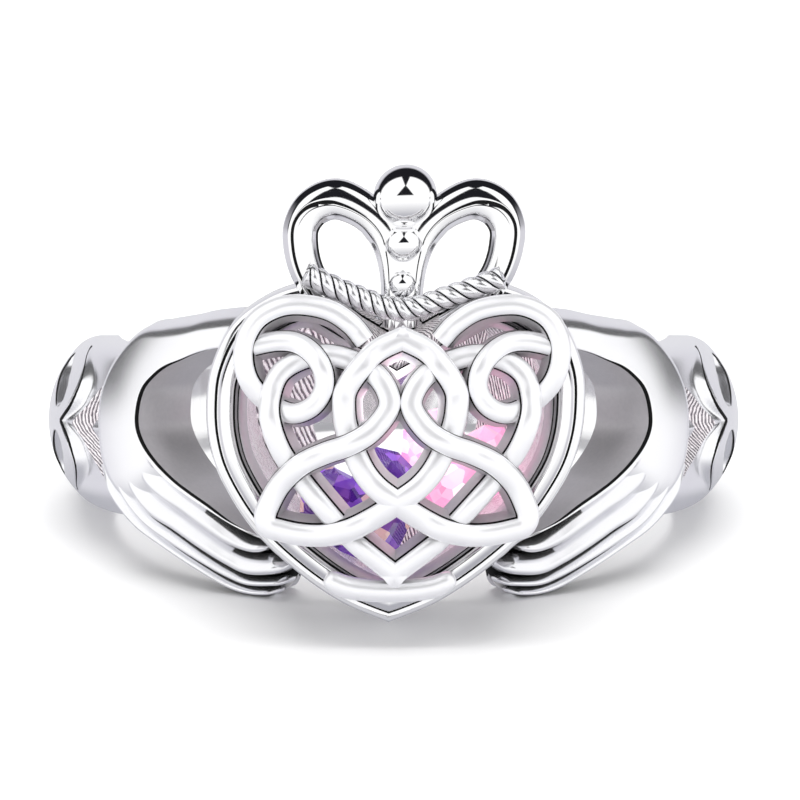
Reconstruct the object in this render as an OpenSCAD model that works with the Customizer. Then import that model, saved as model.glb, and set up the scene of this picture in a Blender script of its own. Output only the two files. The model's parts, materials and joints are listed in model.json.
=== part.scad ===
// Claddagh ring with a caged heart: two hands hold a heart-shaped cage whose front is an open
// knot, under a crown of two loops. Two loose cut stones lie in the cage.
// The shapes are drawn with the finger's axis along Z and the heart towards -Y, and at the end
// the whole ring is laid down on its lower side, as it rests by itself.
// Every table of points holds shares of the named sizes that its comment gives.

/* [Band] */
// Inside diameter, US size 7
inner_d = 17.3; // [16.5:0.1:18.5]
// Thickness of the band at the back
band_t = 1.4; // [1.2:0.1:1.6]
// Width of the band at the back
band_w = 2.0; // [1.8:0.1:2.2]
// Bevel of the band's edges
band_edge = 0.12; // [0.08:0.02:0.16]
// Width of the frills where the band meets the hands
frill_w = 5.3; // [5:0.1:5.6]
// Thickness of the frills
frill_t = 2.2; // [2:0.1:2.4]
// Depth of the hollows in the frills' leaves
leaf_d = 0.45; // [0.3:0.05:0.6]

/* [Hands] */
// Width of each hand, from the thumb to the little finger
hand_w = 8.57; // [8.3:0.05:8.8]
// Thickness of the hands
hand_t = 2.15; // [2:0.05:2.3]
// Depth of the grooves between the fingers
groove_d = 0.35; // [0.25:0.05:0.45]
// Width of the grooves between the fingers
groove_w = 0.16; // [0.12:0.02:0.2]

/* [Heart cage] */
// Width of the heart
heart_w = 11.04; // [10.8:0.04:11.2]
// Depth of the cage, from the finger to the rim's outer edge
cage_depth = 3.55; // [3.4:0.05:3.7]
// Thickness of the cage's side wall
cage_wall = 0.85; // [0.8:0.05:0.9]
// Height of the rounded rim above the outer edge
rim_h = 0.75; // [0.65:0.05:0.85]
// Thickness of the cage's back
cage_back_t = 0.7; // [0.6:0.05:0.8]

/* [Knot] */
// Width of the knot's strands
strand_w = 0.72; // [0.6:0.02:0.8]
// Depth of the knot's strands
strand_h = 0.8; // [0.7:0.05:0.9]
// How far the middle of the knot stands out over its edge
knot_dome = 0.9; // [0.6:0.1:1.1]
// How far a strand rises or dips where two cross
weave = 0.24; // [0.2:0.02:0.3]

/* [Crown] */
// Width of the crown
crown_w = 6.92; // [6.7:0.05:7.1]
// Height of the crown over the heart's notch
crown_h = 4.53; // [4.3:0.05:4.7]
// Thickness of the crown
crown_t = 0.86; // [0.7:0.02:0.9]
// Thickness of the twisted rope under the crown
rope_d = 0.72; // [0.6:0.02:0.8]
// Diameter of the top ball
ball_d = 1.85; // [1.7:0.05:1.9]

/* [Stones] */
// Width of each heart-cut stone
stone_w = 3.6; // [3.4:0.05:3.65]

/* [Hidden] */
$fn = 96;

bore_r = inner_d / 2;
band_r = bore_r + band_t;
frill_r = bore_r + frill_t;
hand_r = bore_r + hand_t;
heart_front = bore_r + cage_depth;
rim_front = heart_front + rim_h;

near = bore_r * 0.35;        // drawings are given depth from here, inside the finger hole
far = bore_r * 1.7;          // to here, outside the whole ring
tall = heart_w * 3;
steps = 3;                   // pieces of a smooth curve between two points of its table

fit_gap = 0.04;              // between the knot's frame and the rim
frame_w = 0.3;               // width of the knot's frame with its gap
frame_rise = 0.28;           // how far the frame stands over the rim, up into the strands
seat_d = 0.3;                // depth of the frame's seat below the rim's outer edge
ledge_w = 0.15;              // width of the ledge that the frame rests on

// Outlines and curves

function between(a, b, c, d, u) =
    0.5 * (2 * b + (c - a) * u + (2 * a - 5 * b + 4 * c - d) * u * u
    + (3 * b - a - 3 * c + d) * u * u * u);

// Smooth curve through all the points, from the first to the last
function curve(p, n = steps) = [
    for (i = [0 : len(p) - 2], k = [0 : n - 1])
        between(p[max(i - 1, 0)], p[i], p[i + 1], p[min(i + 2, len(p) - 1)], k / n),
    p[len(p) - 1]
];

// Smooth closed curve through all the points
function loop(p, n = steps) = [
    for (i = [0 : len(p) - 1], k = [0 : n - 1])
        between(p[(i + len(p) - 1) % len(p)], p[i], p[(i + 1) % len(p)],
                p[(i + 2) % len(p)], k / n)
];

// A closed outline from its left half, whose first and last point lie in the middle
function whole(p) = concat(p, [for (i = [len(p) - 2 : -1 : 1]) [-p[i][0], p[i][1]]]);
function flipped(p) = [for (i = [len(p) - 1 : -1 : 0]) [p[i][0], -p[i][1]]];
function unit(v) = v / norm(v);

// A table's rows as lengths: the first column times a and the second times b
function sized(p, a, b) = [for (q = p) [q[0] * a, q[1] * b]];

// The direction square to a curve at its point i
function square_to(p, i) =
    let (d = unit(p[min(i + 1, len(p) - 1)] - p[max(i - 1, 0)])) [-d[1], d[0]];

// Left half of the heart, from the notch to the tip, in heart widths: [x, z]
heart_half = [
    [0, 0.35], [-0.07, 0.41], [-0.16, 0.45], [-0.26, 0.455], [-0.355, 0.42], [-0.44, 0.35],
    [-0.49, 0.24], [-0.5, 0.14], [-0.49, 0.04], [-0.455, -0.06], [-0.37, -0.19],
    [-0.26, -0.295], [-0.13, -0.385], [0, -0.44]
];
notch_slope = 0.76;          // sine of the notch's half angle
tip_slope = 0.91;            // sine of the tip's half angle
heart_line = curve(sized(heart_half, heart_w, heart_w));

// Left half of the heart moved inwards by inset, without what crosses the middle or the notch
function heart_side(inset) =
    let (last = len(heart_line) - 1, notch = heart_line[0][1] - inset / notch_slope)
    [
        [0, notch],
        for (i = [1 : last - 1])
            let (q = heart_line[i] + inset * square_to(heart_line, i))
            if (q[0] < -0.05 && q[1] < notch - 0.6 * q[0]) q,
        [0, heart_line[last][1] + inset / tip_slope]
    ];

function heart(inset) = whole(heart_side(inset));

// Placing: drawings are made in X and Z and given depth along -Y

module from_front(from, to) {
    translate([0, -from, 0])
        rotate([90, 0, 0])
            linear_extrude(to - from)
                children();
}

module side_view() {
    rotate([0, 0, -90])
        from_front(near, far)
            mirror([1, 0]) children();
}

module both_sides() {
    children();
    mirror([1, 0, 0]) children();
}

// A body round the finger's axis whose outside swells to radius r at the middle, in flat rings
module swollen(r, swell, rings = 7) {
    function out(z) = r - swell + sqrt(swell * swell - z * z);
    top = min(swell * 0.95, hand_w * 0.65);
    rotate_extrude()
        polygon([
            [0, -top], [out(top), -top],
            for (i = [1 : rings - 1]) let (z = top * (2 * i / rings - 1)) [out(z), z],
            [out(top), top], [0, top]
        ]);
}

// The faces of a tube of n rings of m points each, closed at both ends
function tube_faces(n, m) = concat(
    [[for (j = [m - 1 : -1 : 0]) j]],
    [for (i = [0 : n - 2], j = [0 : m - 1])
        let (a = i * m + j, b = i * m + (j + 1) % m) each [[a, b, a + m], [b, b + m, a + m]]],
    [[for (j = [0 : m - 1]) (n - 1) * m + j]]
);

// Band and shoulders

module band() {
    half = band_w / 2;
    intersection() {
        rotate_extrude()
            polygon([
                [near, -half], [band_r - band_edge, -half], [band_r, band_edge - half],
                [band_r, half - band_edge], [band_r - band_edge, half], [near, half]
            ]);
        translate([-far, -bore_r * 0.17, -band_w]) cube([2 * far, 2 * far, 2 * band_w]);
    }
}

// Half outline of the shoulder seen from the side, down to the band, in inside radii and
// frill widths: [depth, z]
shoulder_half = [
    [-0.74, 0.395], [-0.53, 0.47], [-0.335, 0.495], [-0.14, 0.5], [0.045, 0.48],
    [0.23, 0.385], [0.44, 0.255]
];
// The rest of it, where it runs into the band, in inside radii and band widths
shoulder_tail = [[0.65, 0.49], [0.83, 0.43], [0.97, 0.43]];

// Half outline of a leaf's hollow, in inside radii and frill widths: [depth, z]
leaf_hollow = [
    [-0.135, 0.36], [-0.105, 0.33], [-0.1, 0.29], [-0.115, 0.24], [-0.16, 0.175],
    [-0.215, 0.1], [-0.245, 0.07], [-0.28, 0.085], [-0.31, 0.135], [-0.3, 0.21], [-0.245, 0.295]
];

// Half of the line between the leaves and the collar before them: [depth, z]
collar_half = [
    [-0.31, 0], [-0.365, 0.085], [-0.39, 0.165], [-0.39, 0.245], [-0.37, 0.35],
    [-0.34, 0.605], [-1.04, 0.605]
];

// Opening between the frill and the heel of the hand: [depth, z]
crescent = [
    [-0.615, 0.35], [-0.55, 0.225], [-0.485, 0.045], [-0.55, -0.13], [-0.615, -0.255],
    [-0.64, -0.115], [-0.645, 0.045], [-0.64, 0.21]
];

frill_swell = frill_w * 0.613;
collar_d = 0.4;              // depth of the collar below the leaves
ornament_z = 0.23;           // how far the leaves and the collar lie above the ring's middle

// The shoulder thins towards the back, because its outside is a circle set forward
taper_shift = bore_r * 0.127;
taper_r = norm([frill_r, taper_shift]);

module shoulder() {
    outline = curve(concat(sized(shoulder_half, bore_r, frill_w),
                           sized(shoulder_tail, bore_r, band_w)));
    collar = sized(collar_half, bore_r, frill_w);
    difference() {
        intersection() {
            swollen(frill_r, frill_swell);
            translate([0, -taper_shift, 0]) cylinder(r = taper_r, h = tall, center = true);
            side_view() polygon(concat(outline, flipped(outline)));
        }
        for (side = [1, -1])
            difference() {
                side_view()
                    translate([0, ornament_z])
                        polygon(loop(sized(leaf_hollow, bore_r, side * frill_w)));
                swollen(frill_r - leaf_d, frill_swell);
            }
        difference() {
            side_view()
                translate([0, ornament_z])
                    polygon(concat(collar, [for (p = flipped(collar)) if (p[1] < 0) p]));
            swollen(frill_r - collar_d, frill_swell);
        }
        side_view() polygon(loop(sized(crescent, bore_r, frill_w)));
    }
}

// Hands: drawn on a plane square to hand_angle, with t to the left and z up, in inside radii
// and hand widths

hand_angle = 38;
hand_swell = hand_w * 1.05;

// Hand from the thumb's root round the heel to the little finger: [t, z]
hand_outline = [
    [-0.415, 0.465], [-0.24, 0.475], [-0.08, 0.465], [0.025, 0.445], [0.15, 0.425],
    [0.28, 0.4], [0.38, 0.305], [0.44, 0.185], [0.45, 0.05], [0.425, -0.1],
    [0.355, -0.205], [0.26, -0.29], [0.12, -0.37], [-0.025, -0.445], [-0.135, -0.5],
    [-0.246, -0.527], [-0.35, -0.525], [-0.415, -0.49], [-0.485, -0.35]
];
lowest = 15;                 // the row above that touches the ground

// Opening between the thumb, the palm and the forefinger: [t, z]
palm_window = [
    [-0.6, 0.345], [-0.16, 0.345], [0.025, 0.28], [0.12, 0.22], [0.165, 0.145],
    [0.16, 0.055], [0.075, -0.07], [-0.115, -0.19], [-0.225, -0.26], [-0.34, -0.305],
    [-0.6, -0.28]
];

// Grooves between the fingers, each from the knuckle to the fingertip: [t, z]
below_forefinger = [
    [0.21, -0.155], [0.075, -0.195], [-0.08, -0.28], [-0.205, -0.35], [-0.29, -0.375],
    [-0.34, -0.36], [-0.37, -0.32]
];
below_middle_finger = [
    [0.17, -0.255], [0.06, -0.3], [-0.115, -0.395], [-0.245, -0.45], [-0.35, -0.465],
    [-0.405, -0.445], [-0.435, -0.395]
];
below_ring_finger = [
    [0.075, -0.365], [-0.08, -0.44], [-0.205, -0.485], [-0.3, -0.505]
];

module drawn_line(points, width) {
    p = curve(points, 2);
    half = width / 2;
    polygon(concat(
        [for (i = [0 : len(p) - 1]) p[i] + half * square_to(p, i)],
        [for (i = [len(p) - 1 : -1 : 0]) p[i] - half * square_to(p, i)]
    ));
}

module on_hand() {
    rotate([0, 0, -hand_angle])
        from_front(bore_r * 0.7, far)
            mirror([1, 0]) children();
}

module hand() {
    difference() {
        intersection() {
            swollen(hand_r, hand_swell);
            on_hand() polygon(loop(sized(hand_outline, bore_r, hand_w)));
        }
        on_hand() polygon(loop(sized(palm_window, bore_r, hand_w)));
        for (line = [below_forefinger, below_middle_finger, below_ring_finger])
            difference() {
                on_hand() drawn_line(sized(line, bore_r, hand_w), groove_w);
                swollen(hand_r - groove_d, hand_swell);
            }
    }
}

// Heart cage: a narrower back, the wide outer edge, the rounded rim and the pierced bottom

edge_w = 0.32;               // width of the outer edge that shows beside the rim
edge_d = cage_depth * 0.5;   // depth of the cage's wide front part
back_inset = 0.45;           // how much narrower the part behind it is, on each side
rim_bevel = [0.14, 0.2];     // bevel of the rim: across and in depth
back_hole = 0.45;            // the bottom's opening as a share of the heart
back_hole_z = heart_w * 0.036;

module cage() {
    step = heart_front - edge_d;
    difference() {
        union() {
            from_front(bore_r * 0.65, step + 0.1) polygon(heart(back_inset));
            from_front(step, heart_front) polygon(heart(0));
            from_front(step + 0.1, rim_front - rim_bevel[1]) polygon(heart(edge_w));
            from_front(step + 0.2, rim_front) polygon(heart(edge_w + rim_bevel[0]));
        }
        difference() {
            union() {
                from_front(near, step + 0.3) polygon(heart(cage_wall + back_inset));
                from_front(step - 0.1, far) polygon(heart(cage_wall + ledge_w));
            }
            cylinder(r = bore_r + cage_back_t, h = tall, center = true);
        }
        from_front(heart_front - seat_d - fit_gap, far) polygon(heart(cage_wall));
        from_front(rim_front - rim_bevel[1], far) polygon(heart(cage_wall - 0.1));
        from_front(near, heart_front)
            polygon([for (p = heart(0)) [p[0] * back_hole, back_hole_z + p[1] * back_hole]]);
    }
}

// Crown: two loops, a stem with three balls, and the rope under them, in crown widths and
// crown heights over its foot: [x, z]

crown_foot = heart_w * 0.326;
crown_y = -(heart_front + 0.05);
crown_bevel = 0.14;
function on_crown(p) = [for (q = sized(p, crown_w, crown_h)) q + [0, crown_foot]];

// Outside of the crown's left half, from under the top ball round to the heart
crown_half = [
    [0, 0.84], [-0.08, 0.9], [-0.165, 0.97], [-0.275, 1], [-0.395, 0.955], [-0.47, 0.84],
    [-0.5, 0.675], [-0.49, 0.54], [-0.435, 0.33], [-0.375, 0.155], [0, 0]
];
// Opening of the left loop
crown_hole = [
    [-0.275, 0.745], [-0.34, 0.7], [-0.36, 0.625], [-0.345, 0.53], [-0.305, 0.395],
    [-0.255, 0.3], [-0.175, 0.265], [-0.095, 0.265], [-0.08, 0.355], [-0.09, 0.47],
    [-0.13, 0.59], [-0.2, 0.7]
];
// The middles that the loop's edges are set back towards
loop_middle = [-0.275, 0.6];
hole_middle = [-0.23, 0.55];

// Heights of the balls, with their sizes as shares of the top ball: [z, share]
balls = [[0.89, 1], [0.59, 0.62], [0.33, 0.46]];
ball_rise = 0.3;             // how far the balls' middles lie before the crown's

// Points moved towards a middle, except those in the crown's own middle
function moved_to(p, middle, by) =
    [for (q = p) q[0] == 0 ? q : q + by * unit(on_crown([middle])[0] - q)];

module crown_drawing(inset) {
    hole = moved_to(loop(on_crown(crown_hole)), hole_middle, -inset);
    difference() {
        polygon(whole(moved_to(curve(on_crown(crown_half)), loop_middle, inset)));
        polygon(hole);
        mirror([1, 0]) polygon(hole);
    }
}

module crown() {
    half = crown_t / 2;
    from_front(-crown_y - half + crown_bevel, -crown_y + half - crown_bevel) crown_drawing(0);
    from_front(-crown_y - half, -crown_y + half) crown_drawing(crown_bevel);
    for (b = balls)
        translate([0, crown_y - ball_rise + b[1] * crown_bevel, crown_foot + b[0] * crown_h])
            sphere(d = ball_d * b[1]);
}

// Middle line of the rope
rope_line = [
    [-0.41, 0.4], [-0.21, 0.265], [0, 0.17], [0.21, 0.265], [0.41, 0.4]
];
rope_y = crown_y - crown_t / 2 - rope_d / 4;
rope_turns = 6;
rope_lobes = 3;
rope_sides = 9;
rope_groove = 0.14;          // depth of the grooves as a share of the rope's radius

module rope() {
    p = curve(on_crown(rope_line), 14);
    n = len(p);
    r = rope_d / 2;
    points = [
        for (i = [0 : n - 1])
            let (across = square_to(p, i), turn = 360 * rope_turns * i / (n - 1))
            for (j = [rope_sides - 1 : -1 : 0])
                let (a = 360 * j / rope_sides,
                     q = r * (1 - rope_groove + rope_groove * cos(rope_lobes * a)))
                [p[i][0] + across[0] * q * cos(a + turn), rope_y - q * sin(a + turn),
                 p[i][1] + across[1] * q * cos(a + turn)]
    ];
    polyhedron(points, tube_faces(n, rope_sides));
}

module ring_upright() {
    difference() {
        union() {
            band();
            both_sides() {
                shoulder();
                hand();
            }
            cage();
            crown();
            rope();
        }
        cylinder(r = bore_r, h = tall, center = true);
    }
}

// Knot: the middle lines of its strands in heart widths, where lift is 1 on top of a crossing
// and -1 under it: [x, z, lift]

arch_to_apex = [
    [0, 0.33, 0], [0.07, 0.3, 0], [0.12, 0.255, 1], [0.15, 0.195, 0], [0.16, 0.15, 0],
    [0.145, 0.09, -1], [0.105, 0.005, 0], [0.06, -0.05, 0], [0, -0.095, 1], [-0.065, -0.14, 0],
    [-0.125, -0.17, 1], [-0.19, -0.19, 0], [-0.26, -0.19, 0], [-0.325, -0.175, 0],
    [-0.365, -0.16, 0]
];
lobe_strand = [
    [0, -0.29, 0], [-0.08, -0.225, 0], [-0.12, -0.19, -1], [-0.195, -0.105, 0],
    [-0.255, -0.035, -1], [-0.305, 0.035, 0], [-0.335, 0.115, 1], [-0.335, 0.175, 0],
    [-0.315, 0.23, 0], [-0.265, 0.265, -1], [-0.2, 0.28, 0], [-0.13, 0.265, -1],
    [-0.07, 0.235, 0], [-0.035, 0.19, 0], [-0.03, 0.145, 0], [-0.07, 0.09, 0],
    [-0.125, 0.055, 1], [-0.19, 0.03, 0], [-0.255, 0, 1], [-0.315, -0.05, 0],
    [-0.36, -0.105, 0], [-0.375, -0.16, 0]
];
outer_strand = [
    [-0.1, 0.32, -1], [-0.135, 0.36, 0], [-0.19, 0.395, 0], [-0.26, 0.41, 0],
    [-0.32, 0.405, 0], [-0.375, 0.375, 0], [-0.405, 0.325, 0], [-0.41, 0.27, 0],
    [-0.395, 0.215, 0], [-0.36, 0.17, -1], [-0.315, 0.14, -1], [-0.27, 0.13, 0],
    [-0.225, 0.15, 0], [-0.2, 0.19, 0], [-0.2, 0.235, 1], [-0.225, 0.28, 1],
    [-0.27, 0.31, 0], [-0.325, 0.315, 0], [-0.37, 0.305, -0.3]
];
// Crescent foot under the point of the knot
foot = [
    [-0.17, -0.3], [-0.11, -0.33], [0, -0.34], [0.11, -0.33], [0.17, -0.3]
];
lobe_share = 0.86;           // widths of the other strands as shares of the arch's
outer_share = 0.8;
foot_share = 0.97;

// Widths and depth over the rim of the knot's dome, in heart widths
dome_half = [0.455, 0.435];
dome_z = 0.036;

function dome(x, z) =
    knot_dome * pow(max(0, 1 - pow(x / dome_half[0], 2) - pow((z - dome_z) / dome_half[1], 2)), 2);

// Depth of a strand's middle where it goes under another one at the knot's edge
knot_base = rim_front + 3 * fit_gap - weave + strand_h / 2;

function strand_path(table) = [
    for (p = curve(table, 3))
        [p[0] * heart_w, -(knot_base + dome(p[0], p[1]) + weave * (1 + p[2])), p[1] * heart_w]
];

// A strand's outline across, in strand widths and depths: flat below, rounded on top
strand_section = [
    [0.5, -0.5], [0.5, 0.2], [0.31, 0.45], [-0.31, 0.45], [-0.5, 0.2], [-0.5, -0.5]
];

module strand(table, width) {
    path = strand_path(table);
    n = len(path);
    points = [
        for (i = [0 : n - 1])
            let (t = unit(path[min(i + 1, n - 1)] - path[max(i - 1, 0)]),
                 side = unit(cross(t, [0, -1, 0])),
                 up = cross(side, t))
            for (q = sized(strand_section, width, strand_h)) path[i] + side * q[0] + up * q[1]
    ];
    polyhedron(points, tube_faces(n, len(strand_section)));
}

module knot_foot() {
    path = strand_path([for (p = foot) [p[0], p[1], 0]]);
    for (i = [0 : len(path) - 2])
        hull()
            for (q = [path[i], path[i + 1]])
                translate(q) sphere(d = strand_w * foot_share, $fn = 10);
}

module knot_upright() {
    both_sides() {
        strand(arch_to_apex, strand_w);
        strand(lobe_strand, strand_w * lobe_share);
        strand(outer_strand, strand_w * outer_share);
    }
    difference() {
        from_front(heart_front - seat_d, rim_front + frame_rise)
            polygon(heart(cage_wall + fit_gap));
        from_front(near, far) polygon(heart(cage_wall + frame_w));
    }
    knot_foot();
}

// Stones: a heart cut with a table, two rings of facets above the girdle and two below

// Left half of a stone's outline, in stone widths: [x, z]
stone_half = [
    [0, 0.24], [-0.12, 0.37], [-0.27, 0.4], [-0.42, 0.3], [-0.5, 0.12], [-0.45, -0.08],
    [-0.3, -0.3], [-0.13, -0.46], [0, -0.54]
];
// Levels of the cut: [share of the outline, height in stone widths]
cut_levels = [[0.56, 0.17], [0.8, 0.11], [1, 0.02], [1, -0.02], [0.55, -0.23]];
culet = [0, -0.04, -0.4];

module heart_stone(w) {
    outline = whole(stone_half);
    m = len(outline);
    k = len(cut_levels);
    points = [
        for (l = cut_levels, p = outline) w * [p[0] * l[0], p[1] * l[0], l[1]],
        w * culet
    ];
    faces = concat(
        [for (f = tube_faces(k, m)) if (f[0] != (k - 1) * m || len(f) == 3) f],
        [for (j = [0 : m - 1]) [(k - 1) * m + j, (k - 1) * m + (j + 1) % m, k * m]]
    );
    polyhedron(points, faces);
}

// Places a stone: its middle as [x, z] in heart widths and as a share of the cage's depth,
// how far it leans back, and its turn
module set_stone(place, depth, lean, turn) {
    translate([place[0] * heart_w, -(bore_r + depth * cage_depth), place[1] * heart_w])
        rotate([90 - lean, 0, 0])
            rotate([0, 0, turn])
                heart_stone(stone_w);
}

// The ring lies on the lowest edges of its hands and of the back of its band, with the middle
// of its length over the origin

hand_foot = [
    bore_r * cos(hand_angle + asin(hand_outline[lowest][0])), -hand_outline[lowest][1] * hand_w
];
back_foot = [band_r - band_edge, band_w / 2];
rest_tilt = -atan2(hand_foot[1] - back_foot[1], hand_foot[0] + back_foot[0]);
rest_height = back_foot[1] * cos(rest_tilt) - back_foot[0] * sin(rest_tilt);

knot_front = knot_base + knot_dome + weave + strand_h / 2;

module lay_down() {
    translate([0, (knot_front - band_r) / 2, rest_height])
        rotate([rest_tilt, 0, 0])
            children();
}

module ring() {
    color("silver") lay_down() ring_upright();
}

module knot_cover() {
    color("lightgray") lay_down() knot_upright();
}

module purple_stone() {
    color("indigo") lay_down() set_stone([-0.083, -0.131], 0.8, 12, 20);
}

module pink_stone() {
    color("pink") lay_down() set_stone([0.168, -0.027], 0.59, -8, -18);
}

ring();
knot_cover();
purple_stone();
pink_stone();
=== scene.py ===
"""The looks of the claddagh ring: polished silver, an as-cast heart cage and two cut stones.

Shapes are drawn as a jeweller would see them, in millimetres, with the finger's axis along Z and
the heart towards -Y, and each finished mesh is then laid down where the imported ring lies.
"""

import json
import math

import bmesh
import bpy
from mathutils import Matrix, Vector


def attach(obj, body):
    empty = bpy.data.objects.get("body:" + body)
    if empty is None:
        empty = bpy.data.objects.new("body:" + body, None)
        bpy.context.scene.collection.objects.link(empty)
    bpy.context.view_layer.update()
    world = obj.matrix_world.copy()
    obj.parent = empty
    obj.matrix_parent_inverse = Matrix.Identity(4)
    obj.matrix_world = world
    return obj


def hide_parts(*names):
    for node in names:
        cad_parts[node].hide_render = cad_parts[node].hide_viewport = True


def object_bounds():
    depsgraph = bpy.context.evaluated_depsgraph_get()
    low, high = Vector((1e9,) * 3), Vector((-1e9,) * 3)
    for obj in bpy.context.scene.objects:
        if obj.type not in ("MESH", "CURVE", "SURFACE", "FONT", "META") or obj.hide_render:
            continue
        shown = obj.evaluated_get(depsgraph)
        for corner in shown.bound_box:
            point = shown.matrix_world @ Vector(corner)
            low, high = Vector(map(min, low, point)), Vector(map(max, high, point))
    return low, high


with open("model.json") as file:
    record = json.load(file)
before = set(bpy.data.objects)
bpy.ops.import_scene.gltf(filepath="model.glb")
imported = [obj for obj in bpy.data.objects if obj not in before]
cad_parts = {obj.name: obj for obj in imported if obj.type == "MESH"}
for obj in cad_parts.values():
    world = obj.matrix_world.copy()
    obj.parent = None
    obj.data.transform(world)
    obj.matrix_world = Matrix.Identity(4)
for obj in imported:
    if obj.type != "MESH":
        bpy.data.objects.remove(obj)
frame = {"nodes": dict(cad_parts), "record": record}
cad_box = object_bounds()

# Sizes in millimetres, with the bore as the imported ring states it
bore = next(m for m in frame["record"]["mounts"] if m["name"] == "finger_bore")
BORE_R = bore["dims"]["r_mm"]
REST_TILT = math.atan2(bore["axis"][1], bore["axis"][2])
MM = 0.001
LAY_DOWN = (
    Matrix.Translation(Vector(bore["pos_m"]))
    @ Matrix.Rotation(-REST_TILT, 4, "X")
    @ Matrix.Scale(MM, 4)
)

BAND_T, BAND_W = 1.4, 2.0
FRILL_W, FRILL_T = 5.3, 2.2
HAND_W, HAND_T, HAND_ANGLE = 8.57, 2.15, math.radians(38)
HEART_W = 11.04
CAGE_DEPTH, RIM_H, CAGE_BACK_T = 3.55, 0.75, 0.7
HEART_FRONT = BORE_R + CAGE_DEPTH
RIM_FRONT = HEART_FRONT + RIM_H
CROWN_W, CROWN_H, CROWN_T = 6.92, 4.53, 0.86
CROWN_FOOT = HEART_W * 0.326
CROWN_Y = -(HEART_FRONT + 0.05)
ROPE_D, BALL_D = 0.72, 1.85
STRAND_TOP, STRAND_H, WEAVE, KNOT_DOME = 0.69, 0.8, 0.2, 0.9

# Curves


def between(a, b, c, d, u):
    """A point of the smooth curve from b to c, with a before them and d after them."""
    return 0.5 * (
        2 * b
        + (c - a) * u
        + (2 * a - 5 * b + 4 * c - d) * u * u
        + (3 * b - a - 3 * c + d) * u * u * u
    )


def curve(points, steps=6):
    """A smooth curve through all the points, from the first to the last."""
    p = [Vector(q) for q in points]
    last = len(p) - 1
    made = [
        between(p[max(i - 1, 0)], p[i], p[i + 1], p[min(i + 2, last)], k / steps)
        for i in range(last)
        for k in range(steps)
    ]
    return made + [p[last]]


def loop(points, steps=6):
    """A smooth closed curve through all the points."""
    p = [Vector(q) for q in points]
    n = len(p)
    return [
        between(p[i - 1], p[i], p[(i + 1) % n], p[(i + 2) % n], k / steps)
        for i in range(n)
        for k in range(steps)
    ]


def sized(table, across, up):
    """A table of shares made millimetres."""
    return [Vector((q[0] * across, q[1] * up)) for q in table]


def square_to(p, i):
    """The direction square to a flat curve at its point i."""
    d = (p[min(i + 1, len(p) - 1)] - p[max(i - 1, 0)]).normalized()
    return Vector((-d.y, d.x))


def evenly(points, count):
    """The same line with count points, evenly spaced along it."""
    lengths = [0.0]
    for a, b in zip(points, points[1:]):
        lengths.append(lengths[-1] + (b - a).length)
    made, i = [], 0
    for k in range(count):
        want = lengths[-1] * k / (count - 1)
        while i < len(points) - 2 and lengths[i + 1] < want:
            i += 1
        span = lengths[i + 1] - lengths[i]
        made.append(points[i].lerp(points[i + 1], (want - lengths[i]) / span if span else 0))
    return made


def smooth_step(x):
    """From 0 to 1 with a soft start and end while x goes from 0 to 1."""
    x = min(max(x, 0.0), 1.0)
    return x * x * (3 - 2 * x)


# Shader maths


class Sum:
    """A socket that can stand in Python sums, each of which adds a Math node."""

    def __init__(self, nodes, socket):
        self.nodes, self.socket = nodes, socket

    def math(self, operation, other=None, swapped=False):
        """This value put through a Math node, alone or with another one."""
        first, second = (other, self) if swapped else (self, other)
        values = [v.socket if isinstance(v, Sum) else v for v in (first, second) if v is not None]
        return self.nodes.add("ShaderNodeMath", {"operation": operation}, dict(enumerate(values)))

    def __add__(self, other):
        return self.math("ADD", other)

    def __radd__(self, other):
        return self.math("ADD", other, True)

    def __sub__(self, other):
        return self.math("SUBTRACT", other)

    def __rsub__(self, other):
        return self.math("SUBTRACT", other, True)

    def __mul__(self, other):
        return self.math("MULTIPLY", other)

    def __rmul__(self, other):
        return self.math("MULTIPLY", other, True)

    def __truediv__(self, other):
        return self.math("DIVIDE", other)

    def __pow__(self, other):
        return self.math("POWER", other)

    def over(self, other):
        return self.math("GREATER_THAN", other)

    def clamped(self):
        return self.math("MINIMUM", 1.0).math("MAXIMUM", 0.0)


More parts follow.
